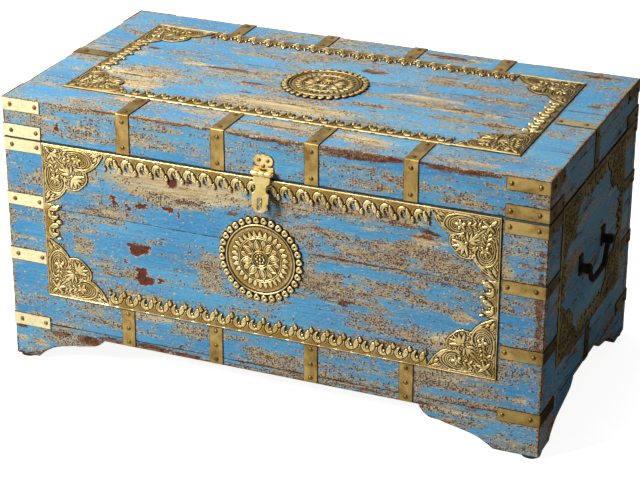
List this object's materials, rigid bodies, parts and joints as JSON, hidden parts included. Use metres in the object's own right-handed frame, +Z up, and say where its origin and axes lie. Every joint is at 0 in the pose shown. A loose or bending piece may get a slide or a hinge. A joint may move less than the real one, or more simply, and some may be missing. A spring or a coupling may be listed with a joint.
{
  "type": "sea chest",
  "caption": "Painted plank chest with a hinged lid on a slotted stay, brass straps, embossed brass frames and medallions, a front hasp, side drop handles and bracket feet.",
  "frame": {"origin": "on the floor under the middle of the chest", "axes": "+X to the chest's right seen from the front, along its width; the front faces -Y; +Z up"},
  "size_m": [0.952, 0.516, 0.4647],
  "materials": {
    "painted_wood": "worn sky-blue paint over hardwood",
    "bare_wood": "unpainted, dull",
    "brass": "aged, satin",
    "embossed_brass": "embossed sheet, darkened in the hollows",
    "stay_brass": "aged, satin",
    "dark_iron": "dark brown patina",
    "black_glide": "black"
  },
  "bodies": {
    "lid": {"lid_back_plank": "painted_wood", "lid_back_rail": "painted_wood", "lid_back_straps": "brass", "lid_brass_frame": "embossed_brass", "lid_corner_straps": "brass", "lid_front_plank": "painted_wood", "lid_front_rail": "painted_wood", "lid_front_straps": "brass", "lid_left_rail": "painted_wood", "lid_medallion": "embossed_brass", "lid_middle_plank": "painted_wood", "lid_nails": "brass", "lid_right_rail": "painted_wood", "lid_side_straps": "brass", "lid_stay_pivot": "stay_brass", "hasp_hinge_plate": "brass", "hasp_pin": "brass", "hasp_screws": "brass", "hinge_lid_leaves": "brass", "hinge_lid_screws": "brass"},
    "hasp": {"hasp_leaf": "brass"},
    "left_handle": {"left_handle_bail": "dark_iron"},
    "right_handle": {"right_handle_bail": "dark_iron"},
    "lid_stay": {"lid_stay_arm": "stay_brass"},
    "case": {"back_corner_straps": "brass", "back_lower_board": "painted_wood", "back_middle_board": "painted_wood", "back_plinth": "painted_wood", "back_upper_board": "painted_wood", "bottom_back_board": "bare_wood", "bottom_cleats": "bare_wood", "bottom_front_board": "bare_wood", "bottom_middle_board": "bare_wood", "case_back_straps": "brass", "case_front_straps": "brass", "case_nails": "brass", "case_screws": "brass", "case_side_straps": "brass", "foot_blocks": "bare_wood", "foot_glides": "black_glide", "front_brass_frame": "embossed_brass", "front_corner_straps": "brass", "front_lower_board": "painted_wood", "front_medallion": "embossed_brass", "front_middle_board": "painted_wood", "front_plinth": "painted_wood", "front_upper_board": "painted_wood", "handle_lugs": "dark_iron", "hasp_staple": "brass", "hinge_case_leaves": "brass", "hinge_pins": "brass", "left_brass_frame": "embossed_brass", "left_lower_board": "painted_wood", "left_plinth": "painted_wood", "left_upper_board": "painted_wood", "lid_stay_stud": "stay_brass", "right_brass_frame": "embossed_brass", "right_lower_board": "painted_wood", "right_plinth": "painted_wood", "right_upper_board": "painted_wood"}
  },
  "joints": [
    {"name": "lid_open", "type": "hinge", "parent": "case", "child": "lid", "pos_m": [0, 0.249, 0.3936], "axis": [-1, 0, 0], "range_deg": [0, 100]},
    {"name": "hasp_swing", "type": "hinge", "parent": "lid", "child": "hasp", "pos_m": [0.001, -0.249, 0.403], "axis": [-1, 0, 0], "range_deg": [-14, 165]},
    {"name": "right_handle_swing", "type": "hinge", "parent": "case", "child": "right_handle", "pos_m": [0.4685, 0, 0.25], "axis": [0, -1, 0], "range_deg": [-12, 190]},
    {"name": "left_handle_swing", "type": "hinge", "parent": "case", "child": "left_handle", "pos_m": [-0.4685, 0, 0.25], "axis": [0, 1, 0], "range_deg": [-12, 190]},
    {"name": "stay_turn", "type": "hinge", "parent": "lid", "child": "lid_stay", "pos_m": [0.43, 0.10053, 0.415], "axis": [-1, 0, 0], "range_deg": [-50, 0]}
  ],
  "couplings": [
    {"joint": "stay_turn", "follows": "lid_open", "ratio": -0.5}
  ]
}
